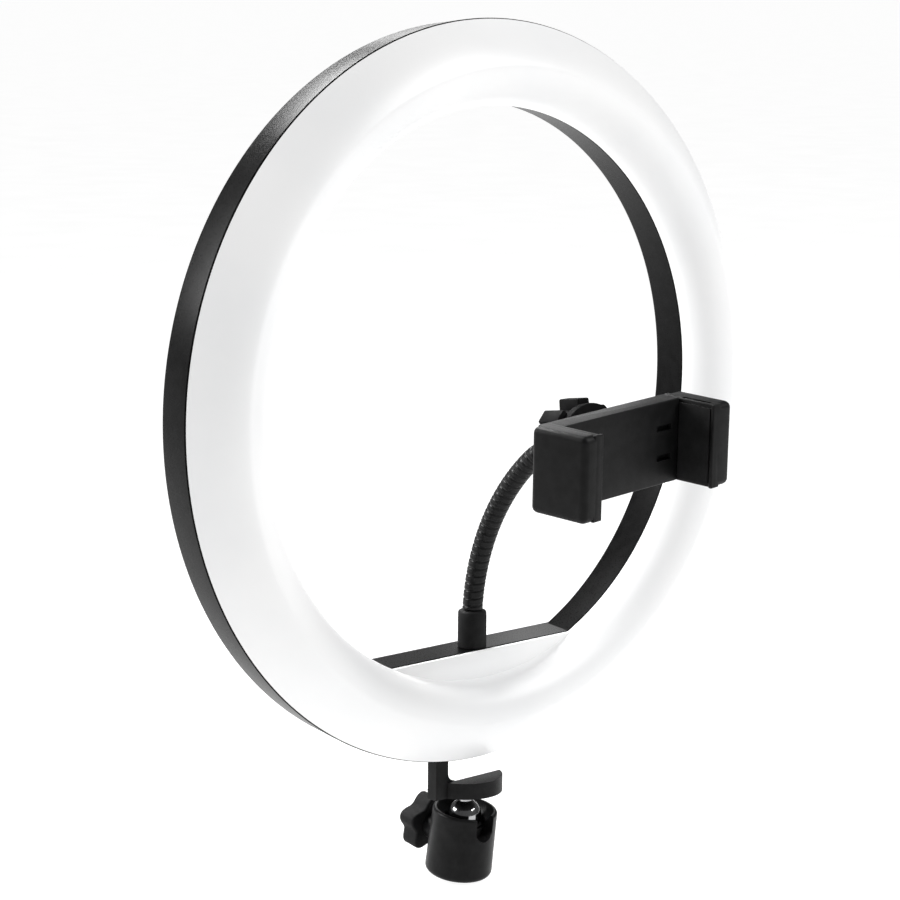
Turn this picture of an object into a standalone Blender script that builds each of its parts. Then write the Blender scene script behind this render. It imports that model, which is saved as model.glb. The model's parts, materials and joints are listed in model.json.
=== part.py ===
"""Ring light with a phone clip on a gooseneck, held by a small ball head.

Metres, +Z up, the lit face looks along -Y. The origin is the centre of the ball
head's base, where a tripod screw enters. The ring stands upright and the ball
head leans forward under it, so the joints are at rest in that pose.
"""

import math

import bmesh
import bpy
from mathutils import Matrix, Vector

MM = 0.001
GAP = 0.3 * MM

# Ball head: a turned body, a ball in a lifting seat, and a side screw.
HEAD_RADIUS = 12.1 * MM
HEAD_HEIGHT = 24.7 * MM
HEAD_LEAN = math.radians(8.5)
BALL_RADIUS = 6.0 * MM
BALL_HEIGHT = 22.2 * MM
STEM_RADIUS = 2.5 * MM
LINER_RADIUS = 7.0 * MM
SEAT_BORE = 7.6 * MM
SLOT_WIDTH = 7.8 * MM
SLOT_DEPTH = 8.8 * MM
INSERT_RADIUS = 4.2 * MM
TRIPOD_BORE = 2.6 * MM
INSERT_LENGTH = 7.8 * MM
SEAT_FLOOR = 9.2 * MM
SCREW_HEIGHT = 12.0 * MM
SCREW_RADIUS = 2.4 * MM
KNOB_NEAR = 15.9 * MM
KNOB_THICK = 7.6 * MM
KNOB_TIP = 10.4 * MM
KNOB_VALLEY = 7.7 * MM
KNOB_LOBES = 5

# Ring housing, measured from the ring's centre, front lip at depth 0.
RING_RADIUS = 130.0 * MM
BACK_RADIUS = 128.6 * MM
HOLE_RADIUS = 100.4 * MM
HOLE_BACK = 101.6 * MM
RING_DEPTH = 14.9 * MM
WALL = 1.8 * MM
BAR_TOP = -90.8 * MM
BAR_THICK = 2.0 * MM
RING_STEPS = 56
SCREW_CIRCLE = 114.0 * MM
SHELL_SCREWS = 8

# Diffuser dome.
DOME_HEIGHT = 13.5 * MM
DOME_CREST = 114.0 * MM
DOME_RADIUS = 129.7 * MM
DOME_WALL = 1.5 * MM
DOME_FLANK_POWER = 1.35

# Bracket from the ring's underside to the stud.
STUD_DEPTH = 8.0 * MM
BALL_DROP = 153.3 * MM
FOOT_RADIUS = 13.5 * MM
FOOT_TOP = -138.1 * MM
FOOT_BOTTOM = -143.9 * MM
ARM_LOW_X = -18.0 * MM
ARM_HIGH_X = -12.2 * MM
ARM_FRONT = 3.5 * MM
ARM_BACK = 7.9 * MM

# Gooseneck: two arcs in the plane x = 0, headings measured off vertical.
NECK_RADIUS = 3.65 * MM
NECK_BALL = 3.2 * MM
NECK_START = (4.9 * MM, -77.0 * MM)
NECK_ARCS = (
    (83.0 * MM, math.radians(4.0), math.radians(49.6)),
    (30.3 * MM, math.radians(49.6), math.radians(82.0)),
)
NECK_JOINTS = tuple(station * MM for station in (8.0, 23.0, 38.0, 53.0, 68.0))
NECK_SHOULDER = 1.1 * MM
COLLAR_RADIUS = 5.1 * MM
COLLAR_TOP = -77.3 * MM

# Ball joint between the gooseneck and the clip.
FERRULE_LENGTH = 12.8 * MM
SOCKET_RADIUS = 7.05 * MM
CUP_RADIUS = 6.75 * MM
NUT_FRONT = 1.8 * MM
NUT_LIP = 2.2 * MM
NUT_BACK = -12.3 * MM
NUT_CORE = 11.6 * MM
NUT_FLANGE = 14.4 * MM
NUT_TIP = 16.4 * MM
NUT_LUGS = 8
LUG_HALF = 2.7 * MM
NUT_BORE = 9.5 * MM

# Phone clip, measured from the middle of its plate's front face.
CLIP_YAW = math.radians(4.88)
CLIP_PITCH = math.radians(3.24)
CLIP_ROLL = math.radians(-2.93)
CLIP_BALL_BACK = 14.6 * MM
CLIP_HALF = 38.25 * MM
JAW_HALF_HEIGHT = 14.5 * MM
PLATE_HALF_HEIGHT = 14.4 * MM
PLATE_THICK = 7.53 * MM
PLATE_START = -37.0 * MM
PLATE_END = 28.95 * MM
JAW_FRONT = -15.6 * MM
LEFT_JAW_FACE = -30.4 * MM
RIGHT_JAW_FACE = 29.25 * MM
LIP = 1.2 * MM
TONGUE_END = -16.0 * MM
SPRING_START = -32.0 * MM
SPRING_END = 21.5 * MM

BLACK = (0.022, 0.022, 0.024, 1.0)
SOFT_BLACK = (0.03, 0.03, 0.032, 1.0)
WHITE = (0.86, 0.86, 0.85, 1.0)
STEEL = (0.55, 0.56, 0.57, 1.0)


# ---------------------------------------------------------------- scene and helpers


def clear_scene():
    for old in list(bpy.data.objects):
        bpy.data.objects.remove(old)


def new_collection(name):
    made = bpy.data.collections.new(name)
    bpy.context.scene.collection.children.link(made)
    return made


clear_scene()
PARTS = new_collection("ring_light")
CUTTERS = new_collection("cutters")
GUIDES = new_collection("guides")
MATERIALS = {}


def material(name, colour, roughness, metallic=0.0):
    """One Principled material for each name."""
    if name not in MATERIALS:
        made = bpy.data.materials.new(name)
        made.use_nodes = True
        shader = made.node_tree.nodes["Principled BSDF"]
        shader.inputs["Base Color"].default_value = colour
        shader.inputs["Roughness"].default_value = roughness
        shader.inputs["Metallic"].default_value = metallic
        made.diffuse_color = colour
        MATERIALS[name] = made
    return MATERIALS[name]


def frame(name, matrix):
    """An empty that pieces are built in."""
    empty = bpy.data.objects.new(name, None)
    empty.empty_display_size = 0.01
    empty.matrix_world = matrix
    GUIDES.objects.link(empty)
    return empty


def put(name, mesh, parent, at=(0, 0, 0), turn=(0, 0, 0)):
    """A mesh object in the parts collection, placed in its parent's frame."""
    made = bpy.data.objects.new(name, mesh)
    made.parent = parent
    made.location = at
    made.rotation_euler = turn
    PARTS.objects.link(made)
    return made


def from_bmesh(name, shape, parent, at=(0, 0, 0), turn=(0, 0, 0)):
    mesh = bpy.data.meshes.new(name)
    shape.to_mesh(mesh)
    shape.free()
    return put(name, mesh, parent, at, turn)


def block(name, low, high, parent, bevel=0.0, segments=2):
    """A box between two corners, its edges rounded if a width is given."""
    shape = bmesh.new()
    bmesh.ops.create_cube(shape, size=1.0)
    size = [b - a for a, b in zip(low, high)]
    middle = [(a + b) / 2 for a, b in zip(low, high)]
    bmesh.ops.scale(shape, vec=size, verts=shape.verts)
    bmesh.ops.translate(shape, vec=middle, verts=shape.verts)
    made = from_bmesh(name, shape, parent)
    if bevel:
        rounding = made.modifiers.new("rounding", "BEVEL")
        rounding.width = bevel
        rounding.segments = segments
    return made


def rods(name, radius, low, high, parent, places=((0, 0),), sides=16, turn=(0, 0, 0)):
    """One mesh with an upright cylinder at each place."""
    shape = bmesh.new()
    for x, y in places:
        bmesh.ops.create_cone(
            shape,
            cap_ends=True,
            segments=sides,
            radius1=radius,
            radius2=radius,
            depth=high - low,
            matrix=Matrix.Translation((x, y, (low + high) / 2)),
        )
    return from_bmesh(name, shape, parent, turn=turn)


def sphere(name, radius, parent, at=(0, 0, 0), around=20, rings=12):
    shape = bmesh.new()
    bmesh.ops.create_uvsphere(shape, u_segments=around, v_segments=rings, radius=radius)
    return from_bmesh(name, shape, parent, at)


def arc(radius, start, end, count, centre=(0.0, 0.0)):
    """Points on an arc, angles in degrees from +r towards +z."""
    step = (end - start) / count
    angles = [math.radians(start + step * i) for i in range(count + 1)]
    return [
        (centre[0] + radius * math.cos(a), centre[1] + radius * math.sin(a))
        for a in angles
    ]


def turned(name, outline, parent, steps=32, ring=False, at=(0, 0, 0), turn=(0, 0, 0)):
    """A solid of revolution about local Z; the outline runs down its outer side."""
    count = len(outline)
    edges = [(i, i + 1) for i in range(count - 1)]
    if ring:
        edges.append((count - 1, 0))
    mesh = bpy.data.meshes.new(name)
    mesh.from_pydata([(r, 0.0, z) for r, z in outline], edges, [])
    made = put(name, mesh, parent, at, turn)
    screw = made.modifiers.new("turning", "SCREW")
    screw.steps = steps
    screw.render_steps = steps
    screw.use_merge_vertices = True
    screw.merge_threshold = 1e-5
    return made


def mesh_of(curve, parent, at=(0, 0, 0)):
    """Swaps a curve object for its evaluated mesh, welded, in the same place."""
    curve.parent = parent
    curve.location = at
    PARTS.objects.link(curve)
    bpy.context.view_layer.update()
    graph = bpy.context.evaluated_depsgraph_get()
    mesh = bpy.data.meshes.new_from_object(curve.evaluated_get(graph))
    shape = bmesh.new()
    shape.from_mesh(mesh)
    bmesh.ops.remove_doubles(shape, verts=shape.verts, dist=1e-6)
    bmesh.ops.recalc_face_normals(shape, faces=shape.faces)
    shape.to_mesh(mesh)
    shape.free()
    name = curve.name
    place = curve.matrix_world.copy()
    bpy.data.objects.remove(curve)
    made = put(name, mesh, parent)
    made.matrix_world = place
    return made


def poly_spline(data, points, cyclic):
    spline = data.splines.new("POLY")
    spline.points.add(len(points) - 1)
    for point, spot in zip(spline.points, points):
        x, y, z = (*spot, 0.0)[:3]
        point.co = (x, y, z, 1.0)
    spline.use_cyclic_u = cyclic


def plate(name, outlines, low, high, parent, edge=0.0):
    """Flat outlines in local XY, extruded from low to high, with an edge rounding."""
    data = bpy.data.curves.new(name, "CURVE")
    data.dimensions = "2D"
    data.fill_mode = "BOTH"
    data.extrude = (high - low) / 2 - edge
    data.bevel_depth = edge
    data.bevel_resolution = 1
    data.offset = -edge
    for outline in outlines:
        poly_spline(data, outline, True)
    return mesh_of(bpy.data.objects.new(name, data), parent, (0, 0, (low + high) / 2))


def tube(name, points, radius, parent, resolution=4):
    """A round tube along points, with filled ends."""
    data = bpy.data.curves.new(name, "CURVE")
    data.dimensions = "3D"
    data.bevel_depth = radius
    data.bevel_resolution = resolution
    data.use_fill_caps = True
    poly_spline(data, points, False)
    return mesh_of(bpy.data.objects.new(name, data), parent)


def put_away(helper):
    """Takes a helper shape out of the model and keeps it as a wire guide."""
    PARTS.objects.unlink(helper)
    CUTTERS.objects.link(helper)
    helper.hide_render = True
    helper.display_type = "WIRE"


def combine(target, helper, operation):
    step = target.modifiers.new(helper.name, "BOOLEAN")
    step.operation = operation
    step.object = helper
    step.solver = "EXACT"
    put_away(helper)


def cut(target, *helpers):
    for helper in helpers:
        combine(target, helper, "DIFFERENCE")


def join(target, *helpers):
    for helper in helpers:
        combine(target, helper, "UNION")


def paint(look, *pieces):
    for piece in pieces:
        piece.data.materials.clear()
        piece.data.materials.append(look)


def circle_outline(radius, count, centre=(0.0, 0.0)):
    return arc(radius, 0, 360 - 360 / count, count - 1, centre)


def lobed_outline(tip, valley, lobes, count):
    """A closed wavy outline with one lobe pointing along +Y."""
    points = []
    for i in range(count):
        angle = 2 * math.pi * i / count
        wave = math.cos(lobes * (angle - math.pi / 2))
        radius = (tip + valley) / 2 + (tip - valley) / 2 * wave
        points.append((radius * math.cos(angle), radius * math.sin(angle)))
    return points


def lug_outline(tip, valley, lugs, count):
    """A closed outline of flat-topped lugs on a round core, one pointing along +Y."""
    points = []
    for i in range(count):
        angle = 2 * math.pi * i / count
        wave = 0.5 + 1.5 * math.cos(lugs * (angle - math.pi / 2))
        radius = valley + (tip - valley) * min(1.0, max(0.0, wave))
        points.append((radius * math.cos(angle), radius * math.sin(angle)))
    return points


def on_circle(radius, angles):
    return [(radius * math.cos(a), radius * math.sin(a)) for a in angles]


def pan_head_screw(name, parent, head, crown, shank, length, at, turn=(0, 0, 0)):
    """Origin under the head, the head above, the shank below."""
    outline = [
        (0, crown),
        (head * 0.7, crown * 0.9),
        (head, crown * 0.4),
        (head, 0),
        (shank, 0),
        (shank, -length + shank),
        (0, -length),
    ]
    return turned(name, outline, parent, steps=10, at=at, turn=turn)


# ---------------------------------------------------------------- frames

LEAN = Matrix.Rotation(HEAD_LEAN, 4, "X")
BALL_CENTRE = LEAN @ Vector((0, 0, BALL_HEIGHT))
RING_CENTRE = BALL_CENTRE + Vector((0, -STUD_DEPTH, BALL_DROP))
HEAD = frame("head_frame", LEAN)
HEAD_FRONT = frame("head_front", LEAN @ Matrix.Rotation(math.pi / 2, 4, "X"))
KNOB = frame(
    "lock_knob_axis",
    LEAN
    @ Matrix.Translation((0, 0, SCREW_HEIGHT))
    @ Matrix.Rotation(-math.pi / 2, 4, "X")
    @ Matrix.Rotation(math.pi, 4, "Z"),
)
STUD = frame("stud_frame", Matrix.Translation(BALL_CENTRE))
RING = frame("ring_frame", Matrix.Translation(RING_CENTRE))
# Local Z of this one points to the front, so the ring lies in it like a plate.
FACE = frame(
    "ring_face", Matrix.Translation(RING_CENTRE) @ Matrix.Rotation(math.pi / 2, 4, "X")
)

SHELL_SPOTS = on_circle(
    SCREW_CIRCLE, [math.radians(22.5 + 360 / SHELL_SCREWS * i) for i in range(SHELL_SCREWS)]
)
BRACKET_SCREWS = ((-21 * MM, -119 * MM), (-9 * MM, -119 * MM))
# The cable enters the underside; local Z points out through the rim.
GLAND = frame(
    "gland_axis",
    Matrix.Translation(RING_CENTRE + Vector((0, 7.5 * MM, 0)))
    @ Matrix.Rotation(math.radians(170), 4, "Y"),
)


def neck_point(station):
    """Depth, height and heading of the gooseneck's middle line at an arc length."""
    depth, height = NECK_START
    for radius, start, end in NECK_ARCS:
        run = radius * (end - start)
        heading = start + min(station, run) / radius
        depth -= radius * (math.cos(start) - math.cos(heading))
        height += radius * (math.sin(heading) - math.sin(start))
        station -= run
        if station <= 0:
            break
    return depth, height, heading


NECK_LENGTH = sum(radius * (end - start) for radius, start, end in NECK_ARCS)


def neck_matrix(station):
    """A frame on the middle line, local Z along the neck."""
    depth, height, heading = neck_point(station)
    place = RING_CENTRE + Vector((0, depth, height))
    return Matrix.Translation(place) @ Matrix.Rotation(heading, 4, "X")


SOCKET_MATRIX = neck_matrix(NECK_LENGTH) @ Matrix.Translation((0, 0, FERRULE_LENGTH))
SOCKET = frame("socket_frame", SOCKET_MATRIX)
NECK = [frame(f"neck_frame_{i}", neck_matrix(s)) for i, s in enumerate((0.0,) + NECK_JOINTS)]
CLIP_TURN = (
    Matrix.Rotation(CLIP_YAW, 4, "Z")
    @ Matrix.Rotation(CLIP_PITCH, 4, "X")
    @ Matrix.Rotation(CLIP_ROLL, 4, "Y")
)
CLIP_BALL_MATRIX = Matrix.Translation(SOCKET_MATRIX.translation) @ CLIP_TURN
CLIP = frame(
    "clip_frame", CLIP_BALL_MATRIX @ Matrix.Translation((0, -CLIP_BALL_BACK, 0))
)
CLIP_FRONT = frame(
    "clip_front",
    CLIP_BALL_MATRIX
    @ Matrix.Translation((0, -CLIP_BALL_BACK, 0))
    @ Matrix.Rotation(math.pi / 2, 4, "X"),
)
CLIP_BALL = frame(
    "clip_ball_frame", CLIP_BALL_MATRIX @ Matrix.Rotation(math.pi / 2, 4, "X")
)
CUP = frame("cup_frame", SOCKET_MATRIX)
COVER_SCREWS = [(x * MM, z * MM) for x in (-29.5, 25.5) for z in (-10.4, 10.4)]


# ---------------------------------------------------------------- ball head


def sphere_zone(radius, start, end, count, centre=0.0):
    """Profile points on a sphere about (0, centre), angles up from the equator."""
    return arc(radius, start, end, count, (0.0, centre))


def on_sphere(radius, height):
    """Distance from the axis of a sphere's surface at a height above its centre."""
    return math.sqrt(radius * radius - height * height)


def build_head():
    rim = HEAD_HEIGHT
    bore = INSERT_RADIUS + GAP
    outline = [
        (0, SEAT_FLOOR),
        (SEAT_BORE, SEAT_FLOOR),
        (SEAT_BORE, rim - 3.7 * MM),
        (10.3 * MM, rim),
        (10.8 * MM, rim),
        (11.3 * MM, rim - 0.35 * MM),
        (11.65 * MM, rim - 1.2 * MM),
        (HEAD_RADIUS, 2.6 * MM),
        (HEAD_RADIUS - 0.6 * MM, 0.9 * MM),
        (HEAD_RADIUS - 2.3 * MM, 0),
        (bore, 0),
        (bore, INSERT_LENGTH + GAP),
        (0, INSERT_LENGTH + GAP),
    ]
    body = turned("head_body", outline, HEAD, steps=36)
    boss = rods("lock_boss", 5 * MM, 8.5 * MM, KNOB_NEAR - 0.4 * MM, KNOB, sides=24)
    bore_tool = rods("lock_bore", 2.7 * MM, 4 * MM, 20 * MM, KNOB, sides=20)
    low = rim - SLOT_DEPTH + SLOT_WIDTH / 2
    half = SLOT_WIDTH / 2
    window = arc(half, 180, 360, 10, (0, low)) + [(half, rim + MM), (-half, rim + MM)]
    slot = plate("drop_slot", [window], 4 * MM, 16 * MM, HEAD_FRONT)
    join(body, boss)
    cut(body, bore_tool, slot)
    insert = turned(
        "tripod_insert",
        [
            (INSERT_RADIUS, INSERT_LENGTH),
            (INSERT_RADIUS, 0.2 * MM),
            (TRIPOD_BORE + 0.5 * MM, 0.2 * MM),
            (TRIPOD_BORE, 0.7 * MM),
            (TRIPOD_BORE, INSERT_LENGTH),
        ],
        HEAD,
        steps=24,
        ring=True,
    )
    paint(material("black_anodised", BLACK, 0.35, 0.6), body)
    paint(material("brass", (0.72, 0.53, 0.25, 1.0), 0.3, 1.0), insert)


def build_ball_seat():
    inner = BALL_RADIUS + 0.25 * MM
    shell = sphere_zone(inner, -90, -30, 5) + sphere_zone(LINER_RADIUS, -30, -90, 5)
    liner = turned("ball_liner", shell, STUD, steps=20)
    seat = LINER_RADIUS + GAP
    top = 19 * MM
    rim = -math.degrees(math.asin((BALL_HEIGHT - top) / seat))
    plunger = turned(
        "seat_plunger",
        sphere_zone(seat, -90, rim, 7, BALL_HEIGHT)
        + [(SEAT_BORE - GAP, top), (SEAT_BORE - GAP, 12 * MM), (0, 12 * MM)],
        HEAD,
        steps=24,
    )
    # The screw's cone lifts the seat through this channel, with room to drop.
    channel = turned(
        "screw_channel",
        [(0, 12 * MM), (3 * MM, 12 * MM), (3 * MM, 4.9 * MM), (0.9 * MM, 1.6 * MM), (0, 1.6 * MM)],
        KNOB,
        steps=20,
    )
    cut(plunger, channel)
    screw = turned(
        "lock_screw",
        [
            (0, 22 * MM),
            (SCREW_RADIUS, 22 * MM),
            (SCREW_RADIUS, 5.4 * MM),
            (0.4 * MM, 2.4 * MM),
            (0, 2.4 * MM),
        ],
        KNOB,
        steps=16,
    )
    knob = plate(
        "lock_knob",
        [lobed_outline(KNOB_TIP, KNOB_VALLEY, KNOB_LOBES, 50)],
        KNOB_NEAR,
        KNOB_NEAR + KNOB_THICK,
        KNOB,
        edge=0.8 * MM,
    )
    hole = rods("knob_hole", SCREW_RADIUS + GAP, 14 * MM, 22.3 * MM, KNOB, sides=16)
    cut(knob, hole)
    paint(material("nylon", SOFT_BLACK, 0.6), liner, plunger)
    paint(material("steel", STEEL, 0.3, 1.0), screw)
    paint(material("knob_rubber", SOFT_BLACK, 0.65), knob)


def build_stud():
    tip = FOOT_TOP + BALL_DROP - 2.6 * MM
    join_angle = math.degrees(math.acos(STEM_RADIUS / BALL_RADIUS))
    outline = [
        (0, tip),
        (STEM_RADIUS - 0.6 * MM, tip - 0.1 * MM),
        (STEM_RADIUS, tip - 0.6 * MM),
    ]
    outline += sphere_zone(BALL_RADIUS, join_angle, -90, 11)
    stud = turned("ball_stud", outline, STUD, steps=20)
    paint(material("chrome", (0.8, 0.8, 0.81, 1.0), 0.1, 1.0), stud)


# ---------------------------------------------------------------- bracket


def build_bracket():
    disc = rods("foot_disc", FOOT_RADIUS, FOOT_BOTTOM, FOOT_TOP, RING, ((0, STUD_DEPTH),), 40)
    slope = block(
        "foot_slope", (-20 * MM, 0, 0), (20 * MM, 30 * MM, 12 * MM), RING
    )
    slope.location = (0, ARM_FRONT, FOOT_TOP)
    slope.rotation_euler = (math.radians(-24.5), 0, 0)
    cut(disc, slope)
    arm = block(
        "bracket_arm",
        (ARM_LOW_X, ARM_FRONT, FOOT_BOTTOM),
        (ARM_HIGH_X, ARM_BACK, -124 * MM),
        RING,
    )
    toe = block(
        "bracket_toe",
        (ARM_LOW_X + MM, ARM_FRONT, FOOT_BOTTOM),
        (-8 * MM, ARM_BACK - 0.4 * MM, FOOT_TOP - 0.4 * MM),
        RING,
    )
    tongue = block(
        "bracket_tongue",
        (-24.2 * MM, ARM_FRONT, -124.6 * MM),
        (-4 * MM, ARM_FRONT + 2 * MM, -113 * MM),
        RING,
    )
    fillet = [(ARM_HIGH_X - MM, FOOT_TOP - MM)]
    fillet.append((ARM_HIGH_X + 3.5 * MM, FOOT_TOP - MM))
    fillet += arc(3.5 * MM, 270, 180, 5, (ARM_HIGH_X + 3.5 * MM, FOOT_TOP + 3.5 * MM))
    fillet.append((ARM_HIGH_X - MM, FOOT_TOP + 3.5 * MM))
    gusset = plate("arm_gusset", [fillet], -4.7 * MM, -ARM_FRONT - 0.05 * MM, FACE)
    eyes = rods("tongue_holes", 1.5 * MM, -8 * MM, 0, FACE, BRACKET_SCREWS, 16)
    stud_hole = rods(
        "stud_hole",
        STEM_RADIUS + GAP,
        FOOT_BOTTOM - MM,
        FOOT_TOP + MM,
        RING,
        ((0, STUD_DEPTH),),
        24,
    )
    disc.name = "bracket"
    disc.data.name = "bracket"
    join(disc, toe, arm, tongue, gusset)
    cut(disc, eyes, stud_hole)
    paint(material("bracket_black", BLACK, 0.45), disc)
    for i, (x, z) in enumerate(BRACKET_SCREWS):
        screw = pan_head_screw(
            f"bracket_screw_{i + 1}",
            FACE,
            2.4 * MM,
            1.3 * MM,
            1.1 * MM,
            7.8 * MM,
            (x, z, -3.2 * MM),
        )
        paint(material("steel", STEEL, 0.3, 1.0), screw)


# ---------------------------------------------------------------- ring


def chord_segment(chord, radius, count):
    """The part of a disc below a level line, as an outline."""
    half = math.degrees(math.acos(-chord / radius))
    return arc(radius, -90 - half, -90 + half, count)


def build_rear_shell():
    outline = [
        (RING_RADIUS, 0),
        (BACK_RADIUS, -12.9 * MM),
        (126.6 * MM, -RING_DEPTH),
        (103.4 * MM, -RING_DEPTH),
        (HOLE_BACK, -12.9 * MM),
        (HOLE_RADIUS, 0),
        (HOLE_RADIUS + WALL, 0),
        (103.3 * MM, -12.0 * MM),
        (104.8 * MM, WALL - RING_DEPTH),
        (125.4 * MM, WALL - RING_DEPTH),
        (126.9 * MM, -12.0 * MM),
        (RING_RADIUS - WALL, 0),
    ]
    shell = turned("rear_shell", outline, FACE, RING_STEPS, ring=True)
    segment = chord_segment(BAR_TOP, 103.5 * MM, 24)
    bar = plate("bar_block", [segment], -RING_DEPTH, 0, FACE)
    hollow = chord_segment(BAR_TOP - BAR_THICK, 105.5 * MM, 24)
    pocket = plate("bar_pocket", [hollow], -13 * MM, MM, FACE)
    posts = rods("bracket_posts", 2.6 * MM, -13.5 * MM, -5.8 * MM, FACE, BRACKET_SCREWS, 16)
    post_holes = rods(
        "post_holes", 1.4 * MM, -13 * MM, -4 * MM, FACE, BRACKET_SCREWS, 12
    )
    ring_holes = rods("shell_holes", 1.5 * MM, -16 * MM, -11 * MM, FACE, SHELL_SPOTS, 12)
    sinks = rods("shell_sinks", 3 * MM, -16 * MM, -13.9 * MM, FACE, SHELL_SPOTS, 16)
    arm_slot = block(
        "arm_slot",
        (ARM_LOW_X - GAP, ARM_FRONT - GAP, -135 * MM),
        (ARM_HIGH_X + GAP, ARM_BACK + GAP, -120 * MM),
        RING,
    )
    collar_hole = rods(
        "collar_hole", 3.5 * MM, BAR_TOP - 4 * MM, BAR_TOP + 2 * MM, RING, ((0, 5 * MM),), 20
    )
    gland_hole = rods("gland_hole", 3.5 * MM, 124 * MM, 134 * MM, GLAND, sides=20)
    join(shell, bar)
    cut(shell, pocket)
    join(shell, posts)
    cut(shell, post_holes, ring_holes, sinks, arm_slot, collar_hole, gland_hole)
    paint(material("housing_black", BLACK, 0.4), shell)


def dome_curve(wall, count):
    """Profile of the dome from its outer edge over the crest to its inner edge."""
    height = DOME_HEIGHT - wall
    run = DOME_RADIUS - DOME_CREST - 1.2 * wall
    rise = DOME_CREST - HOLE_RADIUS - wall
    outer = []
    inner = []
    for i in range(count):
        share = 1 - i / count
        drop = share**DOME_FLANK_POWER
        outer.append((DOME_CREST + run * share, GAP + (height - GAP) * (1 - drop)))
        angle = math.radians(90 * i / count)
        depth = GAP + (height - GAP) * math.cos(angle)
        inner.append((DOME_CREST - rise * math.sin(angle), depth))
    return outer + inner + [(DOME_CREST - rise, GAP)]


def build_diffuser():
    outside = dome_curve(0.0, 6)
    inside = dome_curve(DOME_WALL, 5)
    # The closed outline starts at the outer edge and runs back over the crest inside.
    loop = inside + outside[::-1]
    dome = turned("diffuser", loop, FACE, RING_STEPS, ring=True)
    web = plate(
        "diffuser_web", [chord_segment(BAR_TOP, 101.3 * MM, 24)], 0.4 * MM, 1.8 * MM, FACE
    )
    posts = rods("dome_posts", 3 * MM, -12.7 * MM, 11.6 * MM, FACE, SHELL_SPOTS, 12)
    pilots = rods("dome_pilots", 1.5 * MM, -13.5 * MM, -5 * MM, FACE, SHELL_SPOTS, 10)
    join(dome, web, posts)
    cut(dome, pilots)
    paint(material("diffuser_white", WHITE, 0.45), dome)


def build_lights():
    inner, outer = 105.5 * MM, 124.5 * MM
    for side, name in ((-1, "led_board_left"), (1, "led_board_right")):
        start, end = (-76.0, 89.5) if side > 0 else (90.5, 256.0)
        outline = arc(outer, start, end, 30) + arc(inner, end, start, 30)
        board = plate(name, [outline], -12.6 * MM, -11 * MM, FACE)
        eyes = rods(f"{name}_holes", 3.5 * MM, -13 * MM, -10 * MM, FACE, SHELL_SPOTS, 12)
        cut(board, eyes)
        paint(material("led_board_white", (0.8, 0.8, 0.78, 1.0), 0.5), board)
    for i, (x, y) in enumerate(SHELL_SPOTS):
        screw = pan_head_screw(
            f"shell_screw_{i + 1}",
            FACE,
            2.6 * MM,
            0.7 * MM,
            1.2 * MM,
            8 * MM,
            (x, y, -14.2 * MM),
            (math.pi, 0, 0),
        )
        paint(material("steel", STEEL, 0.3, 1.0), screw)
    gland = turned(
        "cable_gland",
        [
            (4.1 * MM, 131.2 * MM),
            (4.4 * MM, 130.9 * MM),
            (4.4 * MM, 130.1 * MM),
            (3.2 * MM, 130.1 * MM),
            (3.2 * MM, 126 * MM),
            (1.8 * MM, 126 * MM),
            (1.8 * MM, 131.2 * MM),
        ],
        GLAND,
        steps=20,
        ring=True,
    )
    paint(material("black_rubber", SOFT_BLACK, 0.7), gland)


# ---------------------------------------------------------------- gooseneck


def build_collar():
    depth = 5 * MM
    collar = turned(
        "neck_collar",
        [
            (0, COLLAR_TOP),
            (COLLAR_RADIUS - 1.5 * MM, COLLAR_TOP),
            (COLLAR_RADIUS, COLLAR_TOP - 1.5 * MM),
            (COLLAR_RADIUS, BAR_TOP + GAP),
            (3.2 * MM, BAR_TOP + GAP),
            (3.2 * MM, -99 * MM),
            (0, -99 * MM),
        ],
        RING,
        steps=24,
        at=(0, depth, 0),
    )
    nut = rods("neck_nut", 5 * MM, -97.4 * MM, -93.1 * MM, RING, ((0, depth),), 6)
    bore = rods("nut_bore", 3.5 * MM, -99 * MM, -92 * MM, RING, ((0, depth),), 20)
    cut(nut, bore)
    paint(material("black_rubber", SOFT_BLACK, 0.7), collar)
    paint(material("steel", STEEL, 0.3, 1.0), nut)


def neck_run(start, end, origin):
    """Points of the gooseneck's middle line, seen from the frame at one station."""
    count = max(2, round((end - start) / (3 * MM)))
    stations = [start + (end - start) * i / count for i in range(count + 1)]
    home = neck_matrix(origin).inverted()
    return [home @ neck_matrix(station).translation for station in stations]


def build_neck():
    """Six lengths of gooseneck; each carries a ball that sits in the one before."""
    ends = NECK_JOINTS + (NECK_LENGTH,)
    for i, end in enumerate(ends):
        start = NECK_JOINTS[i - 1] + NECK_SHOULDER if i else GAP
        stop = end - NECK_SHOULDER if i < len(NECK_JOINTS) else end
        line = neck_run(start, stop, NECK_JOINTS[i - 1] if i else 0.0)
        section = tube(f"neck_section_{i}", line, NECK_RADIUS, NECK[i], 3)
        if i:
            ball = sphere(f"neck_ball_{i}", NECK_BALL, NECK[i], around=16, rings=10)
            throat = rods(f"neck_throat_{i}", 2.9 * MM, 0, 3 * MM, NECK[i], sides=16)
            join(section, ball, throat)
        if i < len(NECK_JOINTS):
            cup = sphere(f"neck_cup_{i}", NECK_BALL + GAP, NECK[i + 1], around=16, rings=10)
            cut(section, cup)
        paint(material("neck_black", SOFT_BLACK, 0.5), section)


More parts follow.
